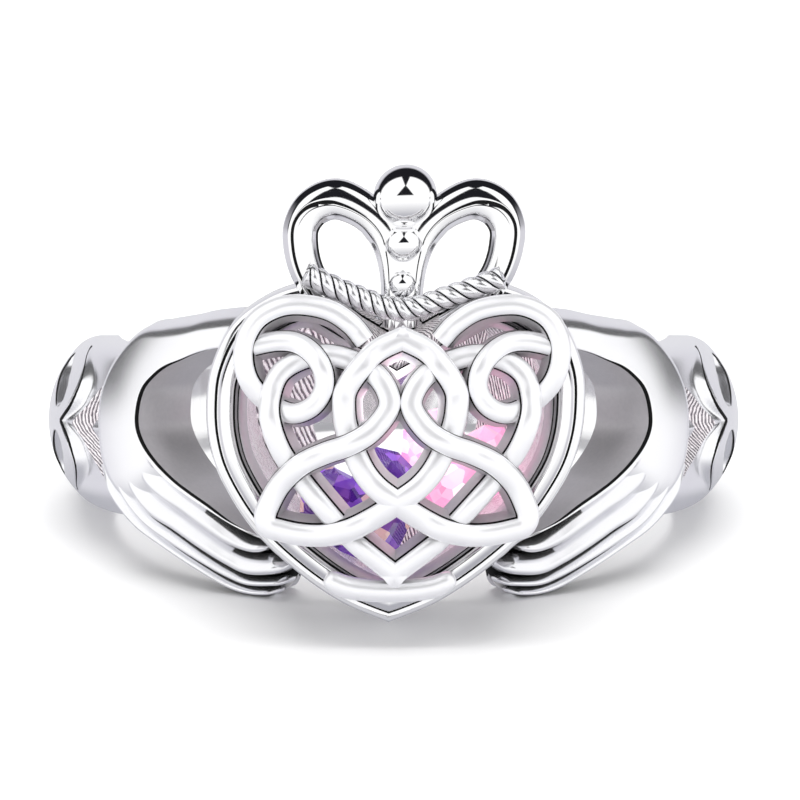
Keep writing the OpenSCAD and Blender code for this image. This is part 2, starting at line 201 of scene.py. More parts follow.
class Finish:
    """A material or world whose nodes are added one by one."""

    def __init__(self, owner):
        owner.use_nodes = True
        self.owner, self.tree = owner, owner.node_tree
        self.tree.nodes.clear()

    def add(self, kind, settings=None, inputs=None, output=0):
        """A new node with its settings, the values or links of its sockets, and one output."""
        node = self.tree.nodes.new(kind)
        for key, value in (settings or {}).items():
            if key == "stops":
                ramp = node.color_ramp
                while len(ramp.elements) < len(value):
                    ramp.elements.new(0.5)
                for element, (place, colour) in zip(ramp.elements, value):
                    element.position = place
                    element.color = (*colour, 1) if len(colour) == 3 else colour
            else:
                setattr(node, key, value)
        for key, value in (inputs or {}).items():
            socket = node.inputs[key]
            if isinstance(value, Sum):
                value = value.socket
            if isinstance(value, bpy.types.NodeSocket):
                self.tree.links.new(value, socket)
            else:
                socket.default_value = value
        return Sum(self, node.outputs[output]) if node.outputs else None

    def place(self):
        """Where a point lies on the piece, in its own coordinates."""
        return self.add("ShaderNodeTexCoord", output="Object")

    def noise(self, size, detail=2.0, where=None):
        """Noise with grains of that size in millimetres."""
        return self.add(
            "ShaderNodeTexNoise",
            {},
            {"Vector": where or self.place(), "Scale": 1 / (size * MM), "Detail": detail},
            "Fac",
        )

    def blend(self, factor, first, second):
        """The first colour where the factor is 0 and the second where it is 1."""
        colour_a, colour_b, result = 6, 7, 2
        return self.add(
            "ShaderNodeMix",
            {"data_type": "RGBA"},
            {0: factor, colour_a: first, colour_b: second},
            result,
        )

    def bump(self, height, strength, depth):
        """A normal from a height of that many millimetres."""
        return self.add(
            "ShaderNodeBump", {}, {"Height": height, "Strength": strength, "Distance": depth * MM}
        )

    def surface(self, **inputs):
        """The Principled shader, whose inputs are named with their spaces as underscores."""
        named = {key.replace("_", " "): value for key, value in inputs.items()}
        shader = self.add("ShaderNodeBsdfPrincipled", {}, named)
        self.add("ShaderNodeOutputMaterial", {}, {"Surface": shader})
        return self.owner


def silver():
    """Polished silver with faint waves from the buff and hair scratches."""
    f = Finish(bpy.data.materials.new("polished_silver"))
    waves = f.noise(2.2, 1.0)
    scratches = f.noise(0.35, 6.0)
    tone = f.blend(waves, (0.93, 0.93, 0.94, 1), (0.975, 0.975, 0.98, 1))
    return f.surface(
        Base_Color=tone,
        Metallic=1.0,
        Roughness=0.05 + 0.05 * scratches,
        Normal=f.bump(waves, 0.15, 0.02),
    )


def buffed_silver(name, metallic, roughness):
    """Silver buffed a little softer than a mirror, on the hands and the knot."""
    f = Finish(bpy.data.materials.new(name))
    waves = f.noise(2.2, 1.0)
    grain = f.noise(0.4, 3.0)
    return f.surface(
        Base_Color=f.blend(waves, (0.91, 0.91, 0.94, 1), (0.95, 0.95, 0.97, 1)),
        Metallic=metallic,
        Roughness=roughness + 0.04 * grain,
        Normal=f.bump(waves, 0.12, 0.02),
    )


def satin_silver():
    """Satin silver for the walls between the strands: its softer shine is the finish where no buff
    reaches, and its darker grey colour is painted shade.
    """
    f = Finish(bpy.data.materials.new("satin_silver"))
    grain = f.noise(0.12, 3.0)
    # Darker grey than silver: painted shade on the walls
    return f.surface(
        Base_Color=f.blend(grain, (0.57, 0.56, 0.58, 1), (0.67, 0.65, 0.67, 1)),
        Metallic=0.6,
        Roughness=0.34 + 0.12 * grain,
        Normal=f.bump(grain, 0.2, 0.01),
    )


def cast_silver():
    """Silver left as it came from the mould: fine ridges and pits, with painted shade darkening the
    pits and glowing painted glints on the highest ridges.
    """
    f = Finish(bpy.data.materials.new("cast_silver"))
    place = f.place()
    drawn_out = f.add("ShaderNodeMapping", {}, {"Vector": place, "Scale": (1, 1, 0.12)})
    ridges = f.add(
        "ShaderNodeTexWave",
        {"wave_type": "BANDS", "bands_direction": "DIAGONAL"},
        {"Vector": drawn_out, "Scale": 1 / (0.17 * MM), "Distortion": 3.0, "Detail": 3.0,
         "Detail Scale": 1.5},
        "Fac",
    )
    pits = f.noise(0.11, 3.0, place)
    blush = f.noise(0.9, 2.0, place)
    height = 0.7 * ridges + 0.6 * pits
    bright = f.blend(blush, (1.0, 1.0, 1.0, 1), (0.98, 0.88, 0.93, 1))
    # Painted shade: the hollows of the texture dark, its ridge tops bright
    painted_pit_shade = ((height - 0.3) * 2.4).clamped()
    # Painted glints: the highest ridges glow
    painted_glints = ((height - 0.62) * 4.0).clamped()
    return f.surface(
        Base_Color=f.blend(painted_pit_shade, (0.3, 0.28, 0.31, 1), bright),
        Metallic=0.55,
        Roughness=0.25 + 0.2 * pits,
        Emission_Color=f.blend(painted_glints, (0, 0, 0, 1), bright),
        Emission_Strength=0.4,
        Normal=f.bump(height, 0.8, 0.08),
    )


def painted_dark_line_finish():
    """Near black, painted along creases, edges and crests as painted shade and dark reflections."""
    f = Finish(bpy.data.materials.new("dark_line"))
    grain = f.noise(0.1, 2.0)
    # Near black: painted shade and painted dark reflections
    return f.surface(
        Base_Color=f.blend(grain, (0.002, 0.002, 0.002, 1), (0.012, 0.012, 0.013, 1)),
        Roughness=0.5 + 0.1 * grain,
        Specular_IOR_Level=0.1,
    )


def gem(name, dark, light, painted_spark_colour):
    """A cut stone: clear and hard, its cells painted lighter and darker as painted facet shade, and
    glowing with painted facet light and sparks.
    """
    f = Finish(bpy.data.materials.new(name))
    place = f.place()
    facets = f.add("ShaderNodeTexVoronoi", {}, {"Vector": place, "Scale": 1 / (0.42 * MM)}, "Color")
    painted_facet_shade = f.add("ShaderNodeSeparateColor", {}, {"Color": facets}, "Red")
    painted_fire = f.add("ShaderNodeSeparateColor", {}, {"Color": facets}, "Green")
    # Painted facet shade: each cell a tone between the dark and the light colour
    colour = f.blend(painted_facet_shade ** 2.0, dark, light)
    # Painted facet light and sparks, which glow
    lit = f.blend(0.35 + 0.5 * painted_fire, (0, 0, 0, 1), colour)
    painted_sparks = f.blend(painted_fire.over(0.84), lit, painted_spark_colour)
    return f.surface(
        Base_Color=colour,
        Roughness=0.02 + 0.05 * painted_facet_shade,
        IOR=1.9,
        Transmission_Weight=0.35,
        Specular_IOR_Level=0.8,
        Emission_Color=painted_sparks,
        Emission_Strength=0.55,
    )


METALS = (
    silver(), satin_silver(), cast_silver(), painted_dark_line_finish(),
    buffed_silver("buffed_silver", 0.9, 0.2), buffed_silver("white_silver", 0.5, 0.28),
)
POLISHED, WALL, ROUGH, PAINTED_DARK, BUFFED, WHITE = range(len(METALS))

# Building

# The heart and the crown lean to the right as they rise, in the photo: sideways for each
# millimetre up, and how far the heart, the crown and the strands are moved besides
SLANT = 0.033
HEART_SHIFT, CROWN_SHIFT, STRAND_SHIFT = 0.01, 0.085, 0.14
LEANING = {
    "heart_cage": HEART_SHIFT, "knot_frame": HEART_SHIFT, "knot_strands": STRAND_SHIFT,
    "crown_loops": CROWN_SHIFT, "crown_balls": CROWN_SHIFT, "twisted_rope": CROWN_SHIFT,
}


def new_object(name, data):
    """An object with that mesh, light or camera, put into the scene."""
    made = bpy.data.objects.new(name, data)
    bpy.context.scene.collection.objects.link(made)
    return made


def dress(mesh):
    """Gives a mesh all the metals, which its faces choose from by number."""
    for metal in METALS:
        mesh.materials.append(metal)


def pick(made):
    """Makes an object the one that Blender's operators work on."""
    bpy.ops.object.select_all(action="DESELECT")
    made.select_set(True)
    bpy.context.view_layer.objects.active = made


def piece(name, mesh, slot, *nodes, angle=34):
    """Lays a mesh drawn in millimetres down in its place and makes it a finished piece."""
    dress(mesh)
    if name in LEANING:
        lean = Matrix.Identity(4)
        lean[0][2], lean[0][3] = SLANT, LEANING[name]
        mesh.transform(lean)
    mesh.transform(LAY_DOWN)
    made = new_object(name, mesh)
    pick(made)
    bpy.ops.object.shade_smooth_by_angle(angle=math.radians(angle))
    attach(made, "root")
    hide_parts(*nodes)
    return made


def roughen_notch(mesh):
    """The deep notch between the lobes stays as cast, because no buff gets behind the rope, and gets
    the cast finish's painted pit shade and glints with it.
    """
    half_width, bottom, slope = 1.25, 1.9, 0.5
    for face in mesh.polygons:
        spot = face.center
        above = spot.z > bottom + slope * abs(spot.x)
        if abs(spot.x) < half_width and above and spot.y < -HEART_FRONT:
            face.material_index = ROUGH


class Shell:
    """Rings of points joined into a skin, whose faces have their own metals."""

    def __init__(self):
        self.bm = bmesh.new()

    def ring(self, points):
        return [self.bm.verts.new(p) for p in points]

    def strip(self, a, b, metal=POLISHED, closed=True):
        n = len(a)
        for i in range(n if closed else n - 1):
            j = (i + 1) % n
            self.bm.faces.new((a[i], a[j], b[j], b[i])).material_index = metal

    def cap(self, ring, metal=POLISHED):
        self.bm.faces.new(ring).material_index = metal

    def wrap(self, levels):
        """A body round a hole: rows of points and metal, with the last row joined to the first."""
        rings = [self.ring(points) for points, metal in levels]
        for i, (points, metal) in enumerate(levels):
            self.strip(rings[i], rings[(i + 1) % len(rings)], metal)

    def skin(self, rings, metal, ends=POLISHED):
        """A capped body, where metal(i, j) names the metal of the face at ring i and point j."""
        for i, (a, b) in enumerate(zip(rings, rings[1:])):
            for j in range(len(a)):
                k = (j + 1) % len(a)
                self.bm.faces.new((a[j], a[k], b[k], b[j])).material_index = metal(i, j)
        self.cap(list(reversed(rings[0])), ends)
        self.cap(rings[-1], ends)

    def finish(self, name):
        bm = self.bm
        bmesh.ops.remove_doubles(bm, verts=bm.verts, dist=1e-5)
        bmesh.ops.recalc_face_normals(bm, faces=bm.faces)
        mesh = bpy.data.meshes.new(name)
        bm.to_mesh(mesh)
        bm.free()
        return mesh


def swept(shell, path, section, metals, ups, scales):
    """A section of (across, up) points carried along a path, with one metal for each side."""
    rings = []
    for i, p in enumerate(path):
        along = (path[min(i + 1, len(path) - 1)] - path[max(i - 1, 0)]).normalized()
        side = along.cross(ups[i]).normalized()
        up = side.cross(along)
        wide, high = scales[i]
        rings.append(shell.ring([p + side * (x * wide) + up * (y * high) for x, y in section]))
    shell.skin(rings, lambda i, j: metals[j])


# The heart

# Left half of its outline from the notch to the tip, in heart widths
HEART_HALF = [
    (0, 0.35), (-0.07, 0.41), (-0.16, 0.45), (-0.26, 0.455), (-0.355, 0.42), (-0.44, 0.35),
    (-0.49, 0.24), (-0.5, 0.14), (-0.49, 0.04), (-0.455, -0.06), (-0.37, -0.19),
    (-0.26, -0.295), (-0.13, -0.385), (0, -0.44),
]
# Sines of the half angles of the notch and the tip
NOTCH_SLOPE, TIP_SLOPE = 0.76, 0.91
# Half sizes and middle of the dome over it, in heart widths
DOME_HALF, DOME_Z = (0.455, 0.435), 0.036
HEART_LINE = curve(sized(HEART_HALF, HEART_W, HEART_W), 10)


def heart(inset, count=72):
    """The heart's outline moved inwards, with as many points at every inset."""
    notch = HEART_LINE[0].y - inset / NOTCH_SLOPE
    side = [Vector((0, notch))]
    # Points that would cross the middle or stand above the moved notch are left out
    for i in range(1, len(HEART_LINE) - 1):
        q = HEART_LINE[i] + inset * square_to(HEART_LINE, i)
        if q.x < -0.03 and q.y < notch - 0.6 * q.x:
            side.append(q)
    side.append(Vector((0, HEART_LINE[-1].y + inset / TIP_SLOPE)))
    half = evenly(side, count)
    return half + [Vector((-p.x, p.y)) for p in reversed(half[1:-1])]


def on_bore(outline, r):
    """A flat outline laid on the cylinder of that radius round the finger."""
    return [Vector((p.x, -math.sqrt(r * r - p.x * p.x), p.y)) for p in outline]


def at_depth(outline, depth):
    """A flat outline at that depth in front of the finger's axis."""
    return [Vector((p.x, -depth, p.y)) for p in outline]


def heart_cage():
    """The cage: side wall, flange, rounded rim, inner lip, ribbed inside and pierced back."""
    shell = Shell()
    f, r = HEART_FRONT, RIM_FRONT
    share = 0.45
    hole = [Vector((p.x * share, HEART_W * DOME_Z + p.y * share)) for p in heart(0)]
    # Two painted dark lines, on the flange and inside the rim, are painted shade and dark
    # reflections; the walls carry the satin's painted shade and the inside the cast finish's painted
    # pit shade and glints
    levels = [
        (on_bore(hole, BORE_R + 0.02), ROUGH),
        (on_bore(heart(0.5), BORE_R + 0.02), WALL),
        (at_depth(heart(0.45), f - 2.0), POLISHED),
        (at_depth(heart(0.1), f - 1.72), POLISHED),
        (at_depth(heart(0.0), f - 1.5), POLISHED),
        (at_depth(heart(0.0), f - 0.16), POLISHED),
        (at_depth(heart(0.05), f - 0.05), POLISHED),
        (at_depth(heart(0.14), f), POLISHED),
        (at_depth(heart(0.24), f - 0.03), PAINTED_DARK),
        (at_depth(heart(0.30), f - 0.06), POLISHED),
        (at_depth(heart(0.33), f + 0.3), POLISHED),
        (at_depth(heart(0.38), r - 0.24), POLISHED),
        (at_depth(heart(0.46), r - 0.1), POLISHED),
        (at_depth(heart(0.56), r - 0.02), POLISHED),
        (at_depth(heart(0.64), r), POLISHED),
        (at_depth(heart(0.72), r - 0.02), POLISHED),
        (at_depth(heart(0.8), r - 0.09), PAINTED_DARK),
        (at_depth(heart(0.86), r - 0.17), WALL),
        (at_depth(heart(1.0), r - 0.3), WALL),
        (at_depth(heart(1.12), r - 0.55), ROUGH),
        (at_depth(heart(1.2), r - 1.0), ROUGH),
        (at_depth(heart(1.28), f - 1.6), ROUGH),
        (on_bore(heart(1.35), BORE_R + CAGE_BACK_T), ROUGH),
        (on_bore(hole, BORE_R + CAGE_BACK_T), ROUGH),
    ]
    shell.wrap(levels)
    mesh = shell.finish("heart_cage")
    roughen_notch(mesh)
    return piece("heart_cage", mesh, "ring_silver", "ring")


# The knot: the middle lines of its strands in heart widths, where lift is 1 on top of a crossing
# and -1 under it: (x, z, lift)

LONG = [
    (0.015, 0.33, 0), (-0.06, 0.295, 0), (-0.105, 0.25, 1), (-0.14, 0.195, 0),
    (-0.145, 0.15, 0), (-0.135, 0.09, -1), (-0.1, 0.005, 0), (-0.06, -0.05, 0),
    (0, -0.095, 1), (0.065, -0.14, 0), (0.125, -0.17, 1), (0.185, -0.185, 0), (0.245, -0.185, 0),
    (0.3, -0.175, 0), (0.33, -0.165, 0), (0.34, -0.14, 0), (0.33, -0.105, 0),
    (0.3, -0.05, 0), (0.25, 0.0, 1), (0.19, 0.03, 0), (0.125, 0.055, 1), (0.07, 0.09, 0),
    (0.03, 0.145, 0), (0.035, 0.19, 0), (0.07, 0.235, 0), (0.13, 0.265, -1), (0.2, 0.28, 0),
    (0.265, 0.265, -1), (0.315, 0.23, 0), (0.335, 0.175, 0), (0.335, 0.115, 1), (0.305, 0.035, 0),
    (0.255, -0.035, -1), (0.195, -0.105, 0), (0.12, -0.19, -1), (0.08, -0.225, 0),
    (-0.02, -0.305, 0),
]
OUTER = [
    (-0.1, 0.32, -1), (-0.135, 0.36, 0), (-0.19, 0.395, 0), (-0.26, 0.41, 0),
    (-0.32, 0.405, 0), (-0.375, 0.375, 0), (-0.405, 0.325, 0), (-0.41, 0.27, 0),
    (-0.395, 0.215, 0), (-0.36, 0.17, -1), (-0.315, 0.14, -1), (-0.27, 0.13, 0),
    (-0.225, 0.15, 0), (-0.2, 0.19, 0), (-0.2, 0.235, 1), (-0.225, 0.28, 1),
    (-0.27, 0.31, 0), (-0.325, 0.315, -0.3), (-0.4, 0.3, -0.8),
]
FOOT = [(-0.17, -0.3, 0), (-0.11, -0.33, 0), (0, -0.34, 0), (0.11, -0.33, 0), (0.17, -0.3, 0)]
KNOT_BASE = RIM_FRONT + 0.12 + STRAND_H / 2
WALL_LEAN = math.radians(19)
LONG_SHARES, OUTER_SHARES = (1.05, 0.95), (0.92, 0.9)


def dome(x, z):
    """How far the knot stands out at a place given in heart widths."""
    out = 1 - (x / DOME_HALF[0]) ** 2 - ((z - DOME_Z) / DOME_HALF[1]) ** 2
    return KNOT_DOME * max(0.0, out) ** 2


def strand_lines(table, mirror):
    """The middle line of a strand's top and which way is up at each point."""
    line = curve(table, 10)
    path, ups = [], []
    for i, (x, z, _) in enumerate(line):
        near = [q.z for q in line[max(i - 6, 0):i + 7]]
        x = -x if mirror else x
        depth = KNOT_BASE + dome(x, z) + WEAVE * sum(near) / len(near)
        path.append(Vector((x * HEART_W, -depth, z * HEART_W)))
        out = Vector((x, 0, z - DOME_Z))
        lean = WALL_LEAN * math.tanh(out.length / 0.2) / max(out.length, 1e-6)
        ups.append((out * lean + Vector((0, -1, 0))).normalized())
    return path, ups


def knot():
    """The woven strands, each with a softly rounded top, a painted dark edge line and plain walls in
    painted shade.
    """
    shell = Shell()
    half, top, foot = STRAND_TOP / 2, STRAND_H * 0.45, -STRAND_H / 2
    steps, round_half, drop, spread = 12, math.radians(80), 0.27, 0.09
    turns = [round_half * (1 - 2 * k / steps) for k in range(steps + 1)]
    crown = [((half - 0.02) * math.sin(t), top - 0.2 * (1 - math.cos(t))) for t in turns]
    section = [(half + spread, foot), (half, top - drop), *crown, (-half, top - drop),
               (-half - spread, foot)]
    # Painted dark lines along the top's edges, painted shade on the walls
    metals = [WALL, PAINTED_DARK] + [WHITE] * steps + [PAINTED_DARK, WALL, WALL]
    for table, (start, end) in ((LONG, LONG_SHARES), (OUTER, OUTER_SHARES)):
        for mirror in (False, True):
            path, ups = strand_lines(table, mirror)
            n = len(path)
            scales = [(start + (end - start) * smooth_step(2 * i / n - 0.5), 1) for i in range(n)]
            swept(shell, path, section, metals, ups, scales)
    mesh = shell.finish("knot_strands")
    return piece("knot_strands", mesh, "knot_silver", "knot_cover", angle=40)


def knot_frame():
    """The thin heart that carries the strands, and the crescent foot under their point."""
    shell = Shell()
    f, r = HEART_FRONT, RIM_FRONT
    # A painted dark line along the thin heart's top, painted shade on its walls
    shell.wrap([
        (at_depth(heart(0.93), f - 0.25), WALL),
        (at_depth(heart(0.93), r + 0.04), PAINTED_DARK),
        (at_depth(heart(0.97), r + 0.08), WALL),
        (at_depth(heart(1.0), r + 0.06), WALL),
        (at_depth(heart(1.2), r - 0.3), ROUGH),
        (at_depth(heart(1.22), f - 0.25), WALL),
    ])
    path, ups = strand_lines(FOOT, False)
    n, sides, half_width, half_height, thinnest = len(path), 20, 0.34, 0.3, 0.05
    ends = [math.sqrt(max(0.0, 1 - (2 * i / (n - 1) - 1) ** 6)) for i in range(n)]
    turns = [math.tau * j / sides for j in range(sides)]
    section = [(half_width * math.cos(a), half_height * math.sin(a)) for a in turns]
    scales = [(max(s, thinnest), max(s, thinnest)) for s in ends]
    swept(shell, path, section, [WHITE] * sides, ups, scales)
    mesh = shell.finish("knot_frame")
    return piece("knot_frame", mesh, "knot_silver", "knot_cover", angle=50)


# The crown

# The left wire's middle line in crown widths and heights, with its width in millimetres
CROWN_LOOP = [
    (-0.045, 0.05, 0.62), (-0.045, 0.3, 0.62), (-0.055, 0.5, 0.8), (-0.085, 0.665, 1.08),
    (-0.165, 0.79, 1.08), (-0.285, 0.87, 1.2), (-0.38, 0.82, 1.16), (-0.43, 0.7, 1.06),
    (-0.43, 0.56, 1.02), (-0.405, 0.42, 0.98), (-0.36, 0.3, 0.94), (-0.3, 0.16, 0.9),
]
# The balls' heights and sizes as shares of the top ball
BALLS = [(0.89, 1), (0.59, 0.62), (0.33, 0.46)]
# Heights along the stem and its half widths in millimetres
STEM = [(0.05, 0.42), (0.3, 0.44), (0.45, 0.5), (0.58, 0.6), (0.68, 0.72), (0.76, 0.6)]
ROPE_LINE = [(-0.41, 0.4), (-0.21, 0.265), (0, 0.17), (0.21, 0.26), (0.425, 0.38)]
ROPE_Y = CROWN_Y - CROWN_T / 2 - ROPE_D / 4
# Which points of a wire's section make the crest's painted dark line and the painted dark edge of the
# loop's opening
CREST, OPENING_EDGE = 9, (20, 21)


def wire_section(t):
    """The wire's outline across at the share t of its length, in wire widths and crown depths."""
    crest = 0.31 * smooth_step((t - 0.42) / 0.22) - 0.09
    half_line = 0.004 + 0.04 * smooth_step((t - 0.3) * 5) * smooth_step((1.02 - t) * 5)
    outer = [0.5 - (0.5 - crest - half_line) * k / CREST for k in range(CREST + 1)]
    inner = [crest - half_line - (0.5 + crest - half_line) * k / 11 for k in range(12)]
    front = []
    for k, a in enumerate(outer + inner):
        bevel = min(0.5 - abs(a), 0.17) / 0.17 * 0.4
        dip = 0.05 if k == CREST + 1 else 0
        front.append((a, bevel + 0.1 * max(0, 1 - (a / 0.33) ** 2) - dip))
    turns = [math.pi * (1 - k / 10) for k in range(1, 10)]
    return front + [(0.5 * math.cos(a), -0.5 * math.sin(a)) for a in turns]


def wire_metal(t, j):
    """Painted dark lines, as painted shade and dark reflections, along the crest and at the edge of
    the loop's opening.
    """
    opening_edge = j in OPENING_EDGE and 0.56 < t < 0.95
    return PAINTED_DARK if j == CREST or opening_edge else POLISHED


def stem_ring(height, half):
    """A rounded square across the stem, deeper at the front than at the back."""
    points, sides = [], 32
    for a in (math.tau * j / sides for j in range(sides)):
        wide = half * math.cos(a) * (1 + 0.1 * math.sin(2 * a) ** 2)
        deep = 0.47 if math.sin(a) > 0 else 0.4
        y = deep * math.copysign(abs(math.sin(a)) ** 0.5, math.sin(a))
        points.append(Vector((wide, CROWN_Y - CROWN_T * y, height)))
    return points


def crown_loops():
    """Two loops of wire that grow wide over the top, and the stem between them."""
    shell = Shell()
    for side in (1, -1):
        marks = [(x * side * CROWN_W, CROWN_FOOT + z * CROWN_H, w) for x, z, w in CROWN_LOOP]
        line = curve(marks, 10)
        flat = [Vector((p.x, p.y)) for p in line]
        n, rings = len(line), []
        for i, p in enumerate(line):
            out = -side * square_to(flat, i)
            rings.append(shell.ring([
                Vector((p.x + out.x * a * p.z, CROWN_Y - h * CROWN_T, p.y + out.y * a * p.z))
                for a, h in wire_section(i / n)
            ]))
        shell.skin(rings, lambda i, j: wire_metal(i / n, j))
    stem = curve([(half, CROWN_FOOT + z * CROWN_H) for z, half in STEM], 8)
    shell.skin([shell.ring(stem_ring(p.y, p.x)) for p in stem], lambda i, j: POLISHED)
    return piece("crown_loops", shell.finish("crown_loops"), "ring_silver", "ring", angle=60)


def crown_balls():
    """Three polished balls up the stem, the largest on top."""
    bpy.ops.object.select_all(action="DESELECT")
    bm = bmesh.new()
    proud, sunk = 0.3, 0.14
    for height, share in BALLS:
        place = Vector((0, CROWN_Y - proud + share * sunk, CROWN_FOOT + height * CROWN_H))
        bpy.ops.mesh.primitive_uv_sphere_add(
            segments=48, ring_count=24, radius=BALL_D * share / 2, location=place
        )
        ball = bpy.context.object
        ball.data.transform(ball.matrix_world)
        bm.from_mesh(ball.data)
        bpy.data.objects.remove(ball)
    mesh = bpy.data.meshes.new("crown_balls")
    bm.to_mesh(mesh)
    return piece("crown_balls", mesh, "ring_silver", "ring", angle=60)


def rope():
    """Three wires twisted together, lying on the foot of the crown."""
    shell = Shell()
    path = curve([(x * CROWN_W, CROWN_FOOT + z * CROWN_H) for x, z in ROPE_LINE], 60)
    turns, wires, sides = 5.4, 3, 48
    n, rings = len(path), []
    for i, p in enumerate(path):
        across = square_to(path, i)
        turn = math.tau * turns * i / (n - 1)
        end = min(1.0, 0.35 + min(i, n - 1 - i) / 8)
        points = []
        for j in range(sides):
            a = math.tau * j / sides
            swell = abs(math.sin(wires * a / 2)) ** 0.6
            q = ROPE_D / 2 * (0.72 + 0.28 * swell) * end
            points.append(Vector((
                p.x + across.x * q * math.cos(a + turn), ROPE_Y - q * math.sin(a + turn),
                p.y + across.y * q * math.cos(a + turn),
            )))
        rings.append(shell.ring(points))
    each = sides // wires
    # Painted shade: dark stripes in the grooves between the wires
    shell.skin(rings, lambda i, j: PAINTED_DARK if j % each in (0, each - 1) else BUFFED)
    return piece("twisted_rope", shell.finish("twisted_rope"), "ring_silver", "ring", angle=60)


# Band and shoulders

# The shoulder's upper edge: like the next three tables in inside radii of depth, positive to the
# back, and in frill widths up from the ring's middle
SHOULDER = [
    (-0.74, 0.45), (-0.53, 0.485), (-0.335, 0.495), (-0.14, 0.5), (0.045, 0.48),
    (0.23, 0.385), (0.44, 0.255), (0.65, 0.185), (0.83, 0.16), (0.97, 0.16),
]
# The hollow of the upper leaf, and the collar's edge from its middle up
LEAF = [
    (-0.135, 0.36), (-0.105, 0.33), (-0.1, 0.29), (-0.115, 0.24), (-0.16, 0.175), (-0.215, 0.1),
    (-0.245, 0.07), (-0.28, 0.085), (-0.31, 0.135), (-0.3, 0.21), (-0.245, 0.295),
]
COLLAR = [(-0.31, 0), (-0.365, 0.085), (-0.39, 0.165), (-0.39, 0.245), (-0.35, 0.33),
          (-0.26, 0.425), (-0.1, 0.605)]
# The opening behind the hand
CRESCENT = [
    (-0.615, 0.35), (-0.55, 0.225), (-0.485, 0.045), (-0.55, -0.13), (-0.615, -0.255),
    (-0.64, -0.115), (-0.645, 0.045), (-0.64, 0.21),
]
# The middle of the leaves and the collar, how deep they go, and where the collar fades out
ORNAMENT_Z, LEAF_D, COLLAR_D = 0.23, 0.34, 0.36
FADE_FROM, FADE_OVER = 1.2, 1.1


def swollen(r, swell, z):
    """The radius at height z of a surface that bulges out to r in a curve of radius swell."""
    return r - swell + math.sqrt(max(0.01, swell * swell - z * z))


def outwards(path):
    """Straight out from the finger's axis, at each point."""
    return [Vector((p.x, p.y, 0)).normalized() for p in path]


def drawn(shell, path, width):
    """A painted dark line of shade laid on a surface, thickest in its middle and drawn out at both
    ends.
    """
    n = len(path)
    scales = [(max(0.08, math.sin(math.pi * i / (n - 1)) ** 0.6), 1) for i in range(n)]
    half = width / 2
    section = [(half, -0.03), (half, 0.006), (-half, 0.006), (-half, -0.03)]
    swept(shell, path, section, [PAINTED_DARK] * 4, outwards(path), scales)


def inside_by(outline, p):
    """How far a point lies inside a closed flat outline, or minus how far outside."""
    best, inside = 1e9, False
    for a, b in zip(outline, outline[1:] + outline[:1]):
        ab = b - a
        t = min(max((p - a).dot(ab) / ab.dot(ab), 0), 1)
        best = min(best, (p - a - ab * t).length)
        if (a.y > p.y) != (b.y > p.y) and p.x < a.x + (p.y - a.y) * (b.x - a.x) / (b.y - a.y):
            inside = not inside
    return best if inside else -best


class Shoulder:
    """How high the shoulder stands at each depth and height, with its leaves and its collar."""

    def __init__(self):
        self.leaves = [self.leaf(mirror) for mirror in (1, -1)]
        self.collar = curve(sized(COLLAR, BORE_R, FRILL_W), 6)
        self.top_r, self.swell, self.shift = BORE_R + FRILL_T, FRILL_W * 0.613, BORE_R * 0.127
        self.taper = math.hypot(self.top_r, self.shift)

    def leaf(self, mirror):
        """The outline of the upper or the lower leaf."""
        return [p + Vector((0, ORNAMENT_Z)) for p in loop(sized(LEAF, BORE_R, FRILL_W * mirror), 8)]

    def collar_at(self, z):
        """The depth of the collar's edge at a height."""
        p = self.collar
        return next((a.x + (b.x - a.x) * (abs(z) - a.y) / max(b.y - a.y, 1e-6)
                     for a, b in zip(p, p[1:]) if b.y >= abs(z)), p[-1].x)

    def radius(self, depth, z):
        """The distance from the finger's axis, with the hollows and the collar's step cut in."""
        angle = math.asin(max(-1, min(1, depth / BORE_R)))
        out = Vector((math.cos(angle), math.sin(angle)))
        reach = -out.y * self.shift + math.sqrt(max(0, self.taper ** 2 - (out.x * self.shift) ** 2))
        r = min(swollen(self.top_r, self.swell, z), reach)
        sunk = max(inside_by(leaf, Vector((depth, z))) for leaf in self.leaves)
        r -= LEAF_D * smooth_step(sunk / 0.24 + 0.12)
        z = abs(z - ORNAMENT_Z)
        step = COLLAR_D * smooth_step(0.35 + z) * (1 - smooth_step((z - FADE_FROM) / FADE_OVER))
        return r - step * smooth_step((self.collar_at(z) - depth) / 0.3 + 0.1)

    def point(self, side, depth, z, lift=0.0):
        angle = math.asin(max(-1, min(1, depth / BORE_R)))
        r = self.radius(depth, z) + lift
        return Vector((-side * r * math.cos(angle), r * math.sin(angle), z))


